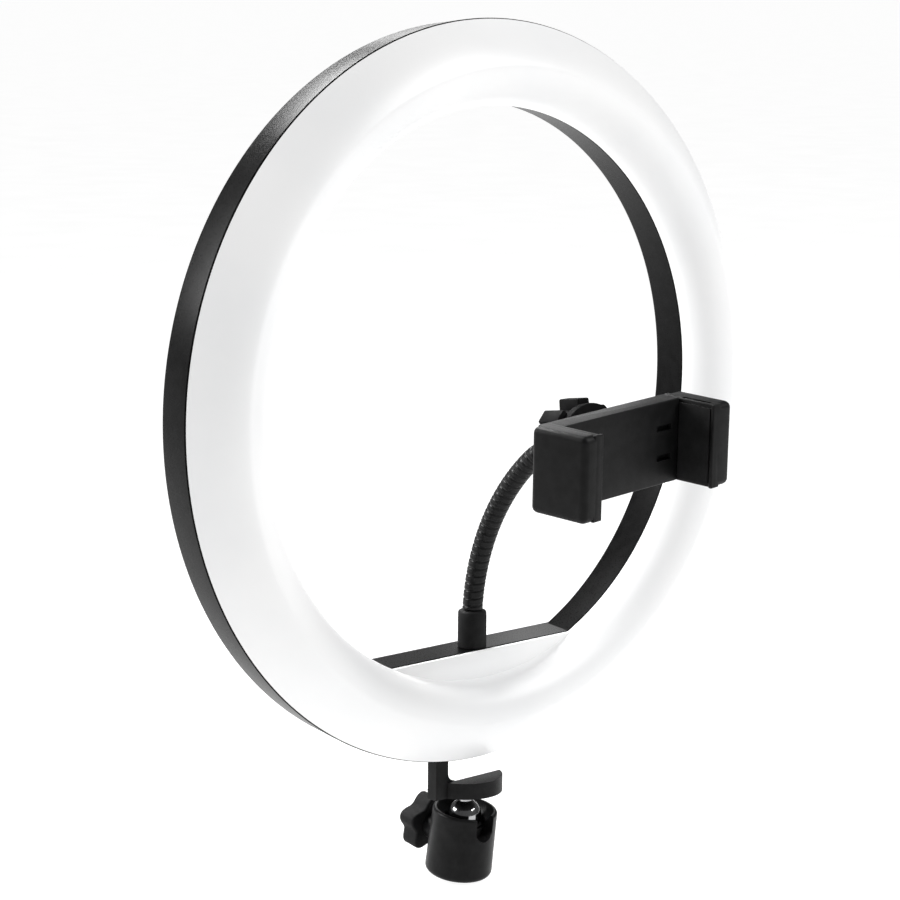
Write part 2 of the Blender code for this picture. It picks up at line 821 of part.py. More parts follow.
def build_ball_joint():
    back = NUT_BACK
    ferrule = turned(
        "neck_ferrule",
        sphere_zone(SOCKET_RADIUS, -90, -2.4, 9)
        + [
            (9.2 * MM, -0.3 * MM),
            (9.2 * MM, -9.5 * MM),
            (5.2 * MM, -10.5 * MM),
            (5.2 * MM, GAP - FERRULE_LENGTH),
            (0, GAP - FERRULE_LENGTH),
        ],
        SOCKET,
        steps=24,
    )
    lip = BALL_RADIUS + GAP
    nut = turned(
        "clamp_nut",
        [
            (NUT_FLANGE - 0.5 * MM, NUT_FRONT),
            (NUT_FLANGE, NUT_FRONT - 0.5 * MM),
            (NUT_FLANGE, -MM),
            (NUT_CORE, -MM),
            (NUT_CORE, back),
            (NUT_BORE, back),
            (NUT_BORE, 0),
            (on_sphere(lip, 0.3 * MM), 0),
            (on_sphere(lip, 1.3 * MM), 1.3 * MM),
            (on_sphere(lip, NUT_LIP), NUT_LIP),
            (7.5 * MM, NUT_LIP),
            (8.4 * MM, NUT_FRONT),
        ],
        SOCKET,
        steps=24,
        ring=True,
    )
    wings = plate(
        "nut_wings",
        [lug_outline(NUT_TIP, NUT_CORE + 0.4 * MM, NUT_LUGS, 64)],
        -10.5 * MM,
        -1.2 * MM,
        SOCKET,
        edge=0.5 * MM,
    )
    core = rods("nut_core", NUT_BORE + MM, -11 * MM, -0.5 * MM, SOCKET, sides=24)
    cut(wings, core)
    join(nut, wings)
    inner = BALL_RADIUS + 0.25 * MM
    shell = sphere_zone(inner, -90, -30, 5) + sphere_zone(CUP_RADIUS, -30, -90, 5)
    cup = turned("clip_ball_cup", shell, CUP, steps=20)
    neck = 3 * MM
    angle = math.degrees(math.acos(neck / BALL_RADIUS))
    stud = turned(
        "clip_ball_stud",
        [
            (0, 9.2 * MM),
            (2.6 * MM, 9.2 * MM),
            (2.6 * MM, 8.8 * MM),
            (1.5 * MM, 8.8 * MM),
            (1.5 * MM, 6.75 * MM),
            (6.5 * MM, 6.75 * MM),
            (6.5 * MM, 5.7 * MM),
            (neck, 5.5 * MM),
        ]
        + sphere_zone(BALL_RADIUS, angle, -90, 10),
        CLIP_BALL,
        steps=24,
    )
    paint(material("clip_plastic", SOFT_BLACK, 0.45), ferrule, nut, stud)
    paint(material("nylon", SOFT_BLACK, 0.6), cup)


# ---------------------------------------------------------------- phone clip


def build_clip_body():
    half = PLATE_HALF_HEIGHT
    body = block(
        "clip_body",
        (PLATE_START, 0, -half),
        (PLATE_END, PLATE_THICK, half),
        CLIP,
        bevel=1.2 * MM,
    )
    jaw = block(
        "left_jaw",
        (-CLIP_HALF - 0.1 * MM, JAW_FRONT, -JAW_HALF_HEIGHT),
        (LEFT_JAW_FACE, PLATE_THICK + 0.1 * MM, JAW_HALF_HEIGHT),
        CLIP,
        bevel=2.0 * MM,
    )
    lip = block(
        "left_lip",
        (LEFT_JAW_FACE - 3 * MM, JAW_FRONT + 0.15 * MM, -JAW_HALF_HEIGHT + 1.0 * MM),
        (LEFT_JAW_FACE + LIP, JAW_FRONT + 1.4 * MM, JAW_HALF_HEIGHT - 1.0 * MM),
        CLIP,
        bevel=0.4 * MM,
    )
    tray = block(
        "clip_tray",
        (-33 * MM, 1.5 * MM, -12.4 * MM),
        (PLATE_END + 2 * MM, PLATE_THICK + 2 * MM, 12.4 * MM),
        CLIP,
    )
    bosses = rods("cover_bosses", 2 * MM, -5.8 * MM, -MM, CLIP_FRONT, COVER_SCREWS, 14)
    pilots = rods("boss_pilots", 1.1 * MM, -8 * MM, -1.6 * MM, CLIP_FRONT, COVER_SCREWS, 10)
    upper = block("upper_slot", (17.4 * MM, -MM, 4.1 * MM), (24.9 * MM, 2 * MM, 6.2 * MM), CLIP)
    lower = block("lower_slot", (17.9 * MM, -MM, -6.2 * MM), (25 * MM, 2 * MM, -4.1 * MM), CLIP)
    join(body, jaw, lip)
    cut(body, tray)
    join(body, bosses)
    cut(body, pilots, upper, lower)
    cover = block(
        "clip_cover",
        (-32.7 * MM, 6.1 * MM, -12.1 * MM),
        (28.3 * MM, PLATE_THICK, 12.1 * MM),
        CLIP,
    )
    eye = rods("cover_eye", 1.8 * MM, -9 * MM, -5 * MM, CLIP_FRONT, sides=16)
    eyes = rods("cover_holes", 1.1 * MM, -9 * MM, -5 * MM, CLIP_FRONT, COVER_SCREWS, 10)
    cut(cover, eye, eyes)
    paint(material("clip_plastic", SOFT_BLACK, 0.45), body, cover)
    for i, (x, z) in enumerate(COVER_SCREWS):
        screw = pan_head_screw(
            f"clip_screw_{i + 1}",
            CLIP_FRONT,
            1.8 * MM,
            0.8 * MM,
            0.8 * MM,
            5 * MM,
            (x, z, -PLATE_THICK - GAP),
            (math.pi, 0, 0),
        )
        paint(material("steel", STEEL, 0.3, 1.0), screw)


def build_clip_slider():
    slider = block(
        "clip_slider",
        (RIGHT_JAW_FACE, JAW_FRONT, -JAW_HALF_HEIGHT),
        (CLIP_HALF, PLATE_THICK, JAW_HALF_HEIGHT),
        CLIP,
        bevel=2.0 * MM,
    )
    lip = block(
        "right_lip",
        (RIGHT_JAW_FACE - LIP, JAW_FRONT + 0.15 * MM, -JAW_HALF_HEIGHT + 1.0 * MM),
        (RIGHT_JAW_FACE + 3 * MM, JAW_FRONT + 1.4 * MM, JAW_HALF_HEIGHT - 1.0 * MM),
        CLIP,
        bevel=0.4 * MM,
    )
    tongue = block(
        "slider_tongue",
        (TONGUE_END, 1.9 * MM, -8 * MM),
        (RIGHT_JAW_FACE + 3 * MM, 3.7 * MM, 8 * MM),
        CLIP,
    )
    groove = block(
        "jaw_groove",
        (28.9 * MM, -12.5 * MM, JAW_HALF_HEIGHT - 1.4 * MM),
        (30.6 * MM, -0.5 * MM, JAW_HALF_HEIGHT + MM),
        CLIP,
    )
    fork = block(
        "tongue_fork",
        (TONGUE_END - MM, MM, -2.2 * MM),
        (22 * MM, 5 * MM, 2.2 * MM),
        CLIP,
    )
    join(slider, lip, tongue)
    cut(slider, groove, fork)
    pads = []
    for side, name in ((-1, "jaw_pad_left"), (1, "jaw_pad_right")):
        face = LEFT_JAW_FACE + GAP if side < 0 else RIGHT_JAW_FACE - GAP
        low, high = sorted((face, face - side * 0.9 * MM))
        pad = block(name, (low, -13.8 * MM, -13 * MM), (high, -0.8 * MM, 13 * MM), CLIP)
        pads.append(pad)
    points = []
    turns, per_turn = 12, 6
    for i in range(turns * per_turn + 1):
        angle = 2 * math.pi * i / per_turn
        along = SPRING_START + (SPRING_END - SPRING_START) * i / (turns * per_turn)
        points.append((along, 3.6 * MM + 1.25 * MM * math.cos(angle), 1.25 * MM * math.sin(angle)))
    spring = tube("clip_spring", points, 0.25 * MM, CLIP, 0)
    paint(material("clip_plastic", SOFT_BLACK, 0.45), slider)
    paint(material("pad_rubber", SOFT_BLACK, 0.75), *pads)
    paint(material("steel", STEEL, 0.3, 1.0), spring)


# ---------------------------------------------------------------- assembly


def bake():
    """Applies every piece's shaping and shades its curved faces smooth."""
    bpy.context.view_layer.update()
    graph = bpy.context.evaluated_depsgraph_get()
    made = {}
    for piece in PARTS.objects:
        made[piece] = bpy.data.meshes.new_from_object(piece.evaluated_get(graph))
    for piece, mesh in made.items():
        piece.modifiers.clear()
        piece.data = mesh
        mesh.name = piece.name
        mesh.shade_smooth()
        mesh.set_sharp_from_angle(angle=math.radians(32))


build_head()
build_ball_seat()
build_stud()
build_bracket()
build_rear_shell()
build_diffuser()
build_lights()
build_collar()
build_neck()
build_ball_joint()
build_clip_body()
build_clip_slider()
bake()
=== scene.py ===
"""Ring light: the visible model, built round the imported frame.

The frame gives every place: the boxes of the CAD nodes, and the joints' centres
and axes. Shapes here are finer versions of the CAD ones, in the same sizes.
"""

import json
import math

import bmesh
import bpy
from mathutils import Matrix, Vector


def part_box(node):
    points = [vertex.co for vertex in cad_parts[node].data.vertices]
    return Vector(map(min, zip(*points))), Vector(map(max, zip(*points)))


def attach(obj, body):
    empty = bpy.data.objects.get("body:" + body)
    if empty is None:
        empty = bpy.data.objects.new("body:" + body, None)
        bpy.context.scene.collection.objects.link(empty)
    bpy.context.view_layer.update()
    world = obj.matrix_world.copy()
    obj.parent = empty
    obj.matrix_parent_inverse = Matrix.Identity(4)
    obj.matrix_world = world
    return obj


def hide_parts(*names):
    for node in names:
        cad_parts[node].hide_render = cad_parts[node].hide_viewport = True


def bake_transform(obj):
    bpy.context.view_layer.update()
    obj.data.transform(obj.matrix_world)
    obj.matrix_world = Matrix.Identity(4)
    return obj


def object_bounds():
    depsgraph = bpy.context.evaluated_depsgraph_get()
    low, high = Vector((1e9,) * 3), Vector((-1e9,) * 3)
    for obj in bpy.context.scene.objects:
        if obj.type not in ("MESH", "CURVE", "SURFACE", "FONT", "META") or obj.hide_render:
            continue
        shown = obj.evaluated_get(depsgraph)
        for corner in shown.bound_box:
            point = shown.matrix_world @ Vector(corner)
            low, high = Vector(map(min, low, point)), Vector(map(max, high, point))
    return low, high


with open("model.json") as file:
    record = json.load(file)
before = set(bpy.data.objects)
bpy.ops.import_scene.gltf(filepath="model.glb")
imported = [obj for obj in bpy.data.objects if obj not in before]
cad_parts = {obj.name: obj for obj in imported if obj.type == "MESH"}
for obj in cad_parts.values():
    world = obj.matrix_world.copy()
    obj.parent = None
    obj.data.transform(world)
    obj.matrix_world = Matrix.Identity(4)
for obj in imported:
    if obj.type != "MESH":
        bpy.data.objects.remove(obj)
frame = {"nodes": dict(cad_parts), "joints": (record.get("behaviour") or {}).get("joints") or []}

CAD_LOW, CAD_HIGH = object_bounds()
MM = 0.001
FINE = 160

# ---------------------------------------------------------------- frames

JOINTS = {joint["name"]: joint for joint in frame["joints"]}


def place_of(joint):
    return Vector(JOINTS[joint]["pos_m"])


def axis_of(joint):
    return Vector(JOINTS[joint]["axis"])


def axes_matrix(origin, x, y, z):
    turn = Matrix((x, y, z)).transposed().to_4x4()
    return Matrix.Translation(origin) @ turn


LEAN = axis_of("seat_lift")
HEAD = axes_matrix(Vector((0, 0, 0)), Vector((1, 0, 0)), axis_of("lock_knob_turn"), LEAN)
HEAD_FRONT = HEAD @ Matrix.Rotation(math.pi / 2, 4, "X")
KNOB = (
    Matrix.Translation(place_of("lock_knob_turn"))
    @ HEAD.to_3x3().to_4x4()
    @ Matrix.Rotation(-math.pi / 2, 4, "X")
    @ Matrix.Rotation(math.pi, 4, "Z")
)
BALL = place_of("side_tilt")
shell_low, shell_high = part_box("rear_shell")
RING_CENTRE = Vector(
    ((shell_low.x + shell_high.x) / 2, shell_low.y, (shell_low.z + shell_high.z) / 2)
)
RING = Matrix.Translation(RING_CENTRE)
FACE = RING @ Matrix.Rotation(math.pi / 2, 4, "X")
RING_RADIUS = (shell_high.x - shell_low.x) / 2
RING_DEPTH = shell_high.y - shell_low.y
SOCKET_CENTRE = place_of("clamp_nut_turn")
SOCKET = axes_matrix(
    SOCKET_CENTRE,
    Vector((1, 0, 0)),
    axis_of("clamp_nut_turn").cross(Vector((1, 0, 0))),
    axis_of("clamp_nut_turn"),
)
CLIP_BACK = 14.6 * MM
CLIP_BALL = axes_matrix(
    SOCKET_CENTRE, axis_of("clip_tilt"), axis_of("clip_roll"), axis_of("clip_pan")
)
CLIP = CLIP_BALL @ Matrix.Translation((0, -CLIP_BACK, 0))


# ---------------------------------------------------------------- shapes


def arc(radius, start, end, count, centre=(0.0, 0.0)):
    """Points on an arc, angles in degrees."""
    points = []
    for i in range(count + 1):
        angle = math.radians(start + (end - start) * i / count)
        points.append(
            (centre[0] + radius * math.cos(angle), centre[1] + radius * math.sin(angle))
        )
    return points


def revolve(profile, steps=FINE, closed=False):
    """A solid of revolution about Z from (radius, height) points."""
    shape = bmesh.new()
    rings = []
    for radius, height in profile:
        if radius < 1e-7:
            rings.append([shape.verts.new((0, 0, height))])
            continue
        ring = []
        for i in range(steps):
            angle = 2 * math.pi * i / steps
            spot = (radius * math.cos(angle), radius * math.sin(angle), height)
            ring.append(shape.verts.new(spot))
        rings.append(ring)
    pairs = list(zip(rings, rings[1:]))
    if closed:
        pairs.append((rings[-1], rings[0]))
    for a, b in pairs:
        for i in range(steps):
            j = (i + 1) % steps
            if len(a) == 1 and len(b) == 1:
                continue
            if len(a) == 1:
                shape.faces.new((a[0], b[i], b[j]))
            elif len(b) == 1:
                shape.faces.new((a[i], b[0], a[j]))
            else:
                shape.faces.new((a[i], b[i], b[j], a[j]))
    bmesh.ops.recalc_face_normals(shape, faces=shape.faces)
    return shape


def prism(outline, low, high, edge=0.0, segments=3):
    """An outline in XY, raised from low to high, its rims rounded by edge."""
    shape = bmesh.new()
    bottom = [shape.verts.new((x, y, low)) for x, y in outline]
    top = [shape.verts.new((x, y, high)) for x, y in outline]
    shape.faces.new(bottom[::-1])
    shape.faces.new(top)
    count = len(outline)
    for i in range(count):
        j = (i + 1) % count
        shape.faces.new((bottom[i], bottom[j], top[j], top[i]))
    bmesh.ops.recalc_face_normals(shape, faces=shape.faces)
    if edge:
        rims = [e for e in shape.edges if abs(e.verts[0].co.z - e.verts[1].co.z) < 1e-9]
        bmesh.ops.bevel(
            shape, geom=rims, offset=edge, segments=segments, profile=0.5, affect="EDGES"
        )
    return shape


def cuboid(low, high, edge=0.0, segments=4):
    """A box between two corners, its edges rounded by edge."""
    shape = bmesh.new()
    bmesh.ops.create_cube(shape, size=1.0)
    bmesh.ops.scale(shape, vec=[b - a for a, b in zip(low, high)], verts=shape.verts)
    middle = [(a + b) / 2 for a, b in zip(low, high)]
    bmesh.ops.translate(shape, vec=middle, verts=shape.verts)
    if edge:
        bmesh.ops.bevel(
            shape,
            geom=list(shape.edges),
            offset=edge,
            segments=segments,
            profile=0.5,
            affect="EDGES",
        )
    return shape


def box_mm(low, high, edge=0.0, segments=4):
    """A cuboid whose corners and edge rounding are given in millimetres."""
    low = [value * MM for value in low]
    high = [value * MM for value in high]
    return cuboid(low, high, edge * MM, segments)


def rods(radius, low, high, places=((0, 0),), sides=48):
    """Upright cylinders, one at each place."""
    shape = bmesh.new()
    for x, y in places:
        bmesh.ops.create_cone(
            shape,
            cap_ends=True,
            segments=sides,
            radius1=radius,
            radius2=radius,
            depth=high - low,
            matrix=Matrix.Translation((x, y, (low + high) / 2)),
        )
    return shape


def moved(shape, matrix):
    shape.transform(matrix)
    return shape


def as_object(shape, name):
    mesh = bpy.data.meshes.new(name)
    shape.to_mesh(mesh)
    shape.free()
    made = bpy.data.objects.new(name, mesh)
    bpy.context.scene.collection.objects.link(made)
    return made


def combined(base, tool, operation):
    """Two closed shapes joined or cut with the exact solver."""
    target = as_object(base, "target")
    helper = as_object(tool, "helper")
    step = target.modifiers.new("step", "BOOLEAN")
    step.operation = operation
    step.object = helper
    step.solver = "EXACT"
    bpy.context.view_layer.update()
    graph = bpy.context.evaluated_depsgraph_get()
    mesh = bpy.data.meshes.new_from_object(target.evaluated_get(graph))
    result = bmesh.new()
    result.from_mesh(mesh)
    bmesh.ops.remove_doubles(result, verts=result.verts, dist=1e-7)
    for spent in (target, helper):
        bpy.data.objects.remove(spent)
    bpy.data.meshes.remove(mesh)
    return result


def union(base, *tools):
    for tool in tools:
        base = combined(base, tool, "UNION")
    return base


def carve(base, *tools):
    for tool in tools:
        base = combined(base, tool, "DIFFERENCE")
    return base


def piece(name, shape, matrix, body, look, slot, *nodes, sharp=32):
    """A finished piece in the row frame, riding on its body."""
    made = as_object(moved(shape, matrix), name)
    made.data.shade_smooth()
    made.data.set_sharp_from_angle(angle=math.radians(sharp))
    made.data.materials.append(look)
    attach(made, body)
    if nodes:
        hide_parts(*nodes)
    return made


# ---------------------------------------------------------------- materials


def link(tree, a, out, b, into):
    tree.links.new(a.outputs[out], b.inputs[into])


def noise(tree, scale, detail=3.0, stretch=None):
    coords = tree.nodes.new("ShaderNodeTexCoord")
    made = tree.nodes.new("ShaderNodeTexNoise")
    made.inputs["Scale"].default_value = scale
    made.inputs["Detail"].default_value = detail
    if stretch:
        mapping = tree.nodes.new("ShaderNodeMapping")
        mapping.inputs["Scale"].default_value = stretch
        link(tree, coords, "Object", mapping, "Vector")
        link(tree, mapping, "Vector", made, "Vector")
    else:
        link(tree, coords, "Object", made, "Vector")
    return made


def ramp(tree, source, low, high, start=0.35, stop=0.65):
    made = tree.nodes.new("ShaderNodeValToRGB")
    made.color_ramp.elements[0].position = start
    made.color_ramp.elements[1].position = stop
    made.color_ramp.elements[0].color = (*low, 1.0)
    made.color_ramp.elements[1].color = (*high, 1.0)
    link(tree, source, "Fac", made, "Fac")
    return made


def spread(tree, source, low, high):
    made = tree.nodes.new("ShaderNodeMapRange")
    made.inputs["From Min"].default_value = 0.3
    made.inputs["From Max"].default_value = 0.7
    made.inputs["To Min"].default_value = low
    made.inputs["To Max"].default_value = high
    link(tree, source, "Fac", made, "Value")
    return made


def finish_of(
    name,
    low,
    high,
    rough,
    mottle=250.0,
    grain=2500.0,
    relief=0.08,
    depth=0.00005,
    metallic=0.0,
    specular=0.5,
    stretch=None,
    glow=None,
):
    """A material whose colour, gloss and fine relief all vary over the surface."""
    made = bpy.data.materials.new(name)
    made.use_nodes = True
    tree = made.node_tree
    shader = tree.nodes["Principled BSDF"]
    shader.inputs["Metallic"].default_value = metallic
    shader.inputs["Specular IOR Level"].default_value = specular
    patches = noise(tree, mottle, 4.0)
    link(tree, ramp(tree, patches, low, high), "Color", shader, "Base Color")
    fine = noise(tree, grain, 2.0, stretch)
    link(tree, spread(tree, fine, *rough), "Result", shader, "Roughness")
    bump = tree.nodes.new("ShaderNodeBump")
    bump.inputs["Strength"].default_value = relief
    bump.inputs["Distance"].default_value = depth
    link(tree, fine, "Fac", bump, "Height")
    link(tree, bump, "Normal", shader, "Normal")
    # On the floor the emission keeps the backdrop evenly bright; on the diffuser it is painted
    # light, a patchy glow standing in for the light the unlit dome catches.
    if glow:
        shader.inputs["Emission Color"].default_value = (1.0, 1.0, 1.0, 1.0)
        soft = noise(tree, 14.0, 1.0)
        link(tree, spread(tree, soft, *glow), "Result", shader, "Emission Strength")
    return made


def grey(low, high):
    return (low, low, low * 1.03), (high, high, high * 1.03)


HOUSING = finish_of("housing_plastic", *grey(0.002, 0.004), (0.26, 0.34), specular=0.05)
CLIP_PLASTIC = finish_of(
    "clip_plastic", *grey(0.004, 0.007), (0.4, 0.56), grain=3200, relief=0.2, specular=0.13
)
NUT_PLASTIC = finish_of(
    "nut_plastic", *grey(0.004, 0.008), (0.5, 0.65), grain=3200, relief=0.2, specular=0.03
)
NECK = finish_of("neck_sleeve", *grey(0.003, 0.006), (0.28, 0.45), mottle=600, specular=0.16)
RUBBER = finish_of(
    "moulded_rubber", *grey(0.005, 0.009), (0.6, 0.8), grain=3000, relief=0.3, specular=0.16
)
PAINT = finish_of(
    "bracket_paint", *grey(0.005, 0.009), (0.38, 0.52), grain=1800, relief=0.15, specular=0.12
)
HEAD_METAL = finish_of(
    "head_anodised", *grey(0.006, 0.010), (0.3, 0.42), grain=2600, specular=0.09
)
CHROME = finish_of(
    "ball_chrome",
    (0.3, 0.3, 0.31),
    (0.44, 0.44, 0.45),
    (0.08, 0.16),
    metallic=1.0,
    relief=0.03,
)
STEEL = finish_of(
    "plated_steel", (0.38, 0.38, 0.39), (0.52, 0.52, 0.53), (0.25, 0.4), metallic=1.0
)
BRASS = finish_of(
    "insert_brass", (0.55, 0.4, 0.18), (0.7, 0.52, 0.25), (0.2, 0.35), metallic=1.0
)
# The diffuser's glow is painted light: its lamps are off, and the emission stands in for the
# light falling on the white dome.
DIFFUSER = finish_of(
    "diffuser_painted_glow",
    (0.54, 0.545, 0.55),
    (0.58, 0.58, 0.58),
    (0.28, 0.36),
    mottle=20,
    relief=0.02,
    specular=0.35,
    glow=(0.29, 0.35),
)
BOARD = finish_of("led_board_mask", (0.7, 0.7, 0.68), (0.8, 0.8, 0.78), (0.3, 0.5))


# ---------------------------------------------------------------- ring

SCREW_CIRCLE = 114.0 * MM
SPOTS = [
    (
        SCREW_CIRCLE * math.cos(math.radians(22.5 + 45 * i)),
        SCREW_CIRCLE * math.sin(math.radians(22.5 + 45 * i)),
    )
    for i in range(8)
]
HOLE = 100.4 * MM
HOLE_BACK = 101.6 * MM
WALL = 1.8 * MM
INNER_BACK = -13.1 * MM
BACK_CORNER = 1.9 * MM
BAR_TOP = -90.8 * MM
CREST = 114 * MM
DOME_HEIGHT = 13.5 * MM
DOME_BASE = 0.3 * MM
DOME_INSET = 0.3 * MM
FLANK_POWER = 1.35


def segment(chord, radius, count=48):
    """The part of a disc below a level line, as an outline."""
    half = math.degrees(math.acos(-chord / radius))
    return arc(radius, -90 - half, -90 + half, count)


def make_housing():
    """The U-shaped ring with its crossbar, the arm's slot and the screw sinks."""
    back = -RING_DEPTH
    outer_back = RING_RADIUS - 1.4 * MM
    round_centre = back + BACK_CORNER
    profile = [(RING_RADIUS - 0.25 * MM, 0), (RING_RADIUS, -0.3 * MM)]
    profile += arc(BACK_CORNER, -6, -84, 6, (outer_back - BACK_CORNER, round_centre))
    profile += arc(BACK_CORNER, 264, 186, 6, (HOLE_BACK + BACK_CORNER, round_centre))
    profile += [
        (HOLE, -0.3 * MM),
        (HOLE + 0.25 * MM, 0),
        (HOLE + WALL, 0),
        (103.3 * MM, -12 * MM),
        (104.8 * MM, INNER_BACK),
        (125.4 * MM, INNER_BACK),
        (126.9 * MM, -12 * MM),
        (RING_RADIUS - WALL, 0),
    ]
    shell = revolve(profile, 256, closed=True)
    bar = prism(segment(BAR_TOP, 103.5 * MM), back, 0, 0.4 * MM, 2)
    pocket = prism(segment(BAR_TOP - 2 * MM, 105.5 * MM), -13 * MM, MM)
    slot = moved(
        box_mm((-18.3, 3.2, -135), (-11.9, 8.2, -120)),
        Matrix.Rotation(-math.pi / 2, 4, "X"),
    )
    sinks = rods(3 * MM, back - MM, back + 1 * MM, SPOTS, 32)
    shell = union(shell, bar)
    shell = carve(shell, pocket, slot, sinks)
    piece("housing", shell, FACE, "ring", HOUSING, "housing_black", "rear_shell")


def dome_profile(wall, count):
    """From the outer edge over the crest to the inner edge, a wall's depth inside."""
    height = DOME_HEIGHT - wall
    run = RING_RADIUS - DOME_INSET - CREST - 1.2 * wall
    rise = CREST - HOLE - wall
    outer = []
    inner = []
    for i in range(count):
        share = 1 - i / count
        climb = 1 - share**FLANK_POWER
        outer.append((CREST + run * share, DOME_BASE + (height - DOME_BASE) * climb))
        angle = math.radians(90 * i / count)
        drop = DOME_BASE + (height - DOME_BASE) * math.cos(angle)
        inner.append((CREST - rise * math.sin(angle), drop))
    return outer + inner + [(CREST - rise, DOME_BASE)]


def make_diffuser():
    """The dome and the flat web in front of the crossbar."""
    loop = dome_profile(1.5 * MM, 14) + dome_profile(0.0, 24)[::-1]
    dome = revolve(loop, 256, closed=True)
    web = prism(segment(BAR_TOP, 101.3 * MM), 0.4 * MM, 1.8 * MM, 0.35 * MM, 2)
    dome = union(dome, web)
    piece("dome", dome, FACE, "ring", DIFFUSER, "diffuser_white", "diffuser", sharp=40)


# ---------------------------------------------------------------- gooseneck

NECK_RADIUS = 3.65 * MM
NECK_START = (4.9 * MM, -77.0 * MM)
NECK_ARCS = (
    (83.0 * MM, math.radians(4.0), math.radians(49.6)),
    (30.3 * MM, math.radians(49.6), math.radians(82.0)),
)
NECK_LENGTH = sum(radius * (end - start) for radius, start, end in NECK_ARCS)
NECK_STATIONS = [s * MM for s in (8, 23, 38, 53, 68)]
RIB_PITCH = 2.9 * MM
GROOVE_DEPTH = 0.3 * MM
BEND_REACH = 6 * MM


def neck_matrix(station):
    """A frame on the gooseneck's middle line, local Z along the neck."""
    depth, height = NECK_START
    heading = 0.0
    for radius, start, end in NECK_ARCS:
        run = radius * (end - start)
        heading = start + min(station, run) / radius
        depth -= radius * (math.cos(start) - math.cos(heading))
        height += radius * (math.sin(heading) - math.sin(start))
        station -= run
        if station <= 0:
            break
    centre = RING_CENTRE + Vector((0, depth, height))
    return Matrix.Translation(centre) @ Matrix.Rotation(heading, 4, "X")


def rib(phase):
    """Radius of the wound sleeve over one turn: a full band, then a narrow groove."""
    t = phase % 1.0
    groove = abs(2 * t - 1) ** 5
    fine = 0.5 + 0.5 * math.cos(4 * math.pi * t)
    return NECK_RADIUS - GROOVE_DEPTH * groove - 0.05 * MM * fine


def sleeve_shape(start, end, around=40):
    """The wound sleeve between two stations; its ridges climb like a screw's."""
    count = max(4, round((end - start) / (0.21 * MM)))
    shape = bmesh.new()
    rings = []
    for i in range(count + 1):
        station = start + (end - start) * i / count
        matrix = neck_matrix(station)
        ring = []
        for k in range(around):
            angle = 2 * math.pi * k / around
            radius = rib(station / RIB_PITCH - k / around)
            spot = matrix @ Vector((radius * math.cos(angle), radius * math.sin(angle), 0))
            ring.append(shape.verts.new(spot))
        rings.append(ring)
    for a, b in zip(rings, rings[1:]):
        for k in range(around):
            j = (k + 1) % around
            shape.faces.new((a[k], a[j], b[j], b[k]))
    shape.faces.new(rings[0][::-1])
    shape.faces.new(rings[-1])
    bmesh.ops.recalc_face_normals(shape, faces=shape.faces)
    return shape


def make_neck():
    """Five sleeves end to end, each spanning one hinge station of the curved neck."""
    middles = [(a + b) / 2 for a, b in zip(NECK_STATIONS, NECK_STATIONS[1:])]
    bounds = [0.3 * MM, *middles, NECK_LENGTH]
    for i, joint_station in enumerate(NECK_STATIONS):
        shape = sleeve_shape(bounds[i], bounds[i + 1])
        made = as_object(shape, f"neck_sleeve_{i + 1}")
        made.data.shade_smooth()
        made.data.materials.append(NECK)
        neck_matrix(joint_station - BEND_REACH).translation
        neck_matrix(joint_station + BEND_REACH).translation
        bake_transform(made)
        nodes = [f"neck_section_{i + 1}"]
        if i == 0:
            nodes.append("neck_section_0")
        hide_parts(*nodes)


def make_collar():
    """The rubber collar that holds the gooseneck on the crossbar."""
    low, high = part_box("neck_collar")
    centre = (low + high) / 2
    top = high.z
    radius = (high.x - low.x) / 2
    foot = RING_CENTRE.z + BAR_TOP + 0.3 * MM
    profile = [(0, top), (radius - 1.3 * MM, top)]
    profile += arc(1.0 * MM, 80, 5, 6, (radius - 1.05 * MM, top - 1.05 * MM))
    profile += [(radius, top - 3 * MM), (radius, foot), (3.2 * MM, foot)]
    profile += [(3.2 * MM, low.z), (0, low.z)]
    spot = Matrix.Translation((centre.x, centre.y, 0))
    piece(
        "neck_base", revolve(profile, 64), spot, "ring", RUBBER, "black_rubber", "neck_collar"
    )


# ---------------------------------------------------------------- ball head

HEAD_RIM = 24.7 * MM
SEAT_BORE = 7.6 * MM
SEAT_FLOOR = 9.2 * MM
SLOT_HALF = 3.9 * MM
SLOT_DEPTH = 8.8 * MM
STEM = 2.5 * MM


def sphere_arc(radius, start, end, count, centre=0.0):
    return arc(radius, start, end, count, (0.0, centre))


def make_head():
    """The turned body with its drop slot and the boss of the clamping screw."""
    profile = [
        (0, SEAT_FLOOR),
        (SEAT_BORE, SEAT_FLOOR),
        (SEAT_BORE, HEAD_RIM - 3.7 * MM),
        (10.1 * MM, HEAD_RIM - 0.2 * MM),
        (10.4 * MM, HEAD_RIM),
        (10.8 * MM, HEAD_RIM),
    ]
    profile += arc(0.85 * MM, 80, 0, 6, (10.8 * MM, HEAD_RIM - 0.87 * MM))
    profile += [(12.08 * MM, 2.8 * MM)]
    profile += arc(2.3 * MM, 0, -88, 8, (9.8 * MM, 2.32 * MM))
    profile += [(5.0 * MM, 0), (4.5 * MM, 0.4 * MM), (4.5 * MM, 8.1 * MM), (0, 8.1 * MM)]
    body = revolve(profile, 128)
    boss = moved(rods(5 * MM, 8.5 * MM, 15.5 * MM, sides=64), HEAD.inverted() @ KNOB)
    bore = moved(rods(2.7 * MM, 4 * MM, 20 * MM), HEAD.inverted() @ KNOB)
    low = HEAD_RIM - SLOT_DEPTH + SLOT_HALF
    high = HEAD_RIM + MM
    window = arc(SLOT_HALF, 180, 360, 20, (0, low))
    window += [(SLOT_HALF, high), (-SLOT_HALF, high)]
    slot = moved(prism(window, 4 * MM, 16 * MM), HEAD.inverted() @ HEAD_FRONT)
    body = union(body, boss)
    body = carve(body, bore, slot)
    piece(
        "head_shell", body, HEAD, "head", HEAD_METAL, "head_anodised", "head_body", sharp=30
    )


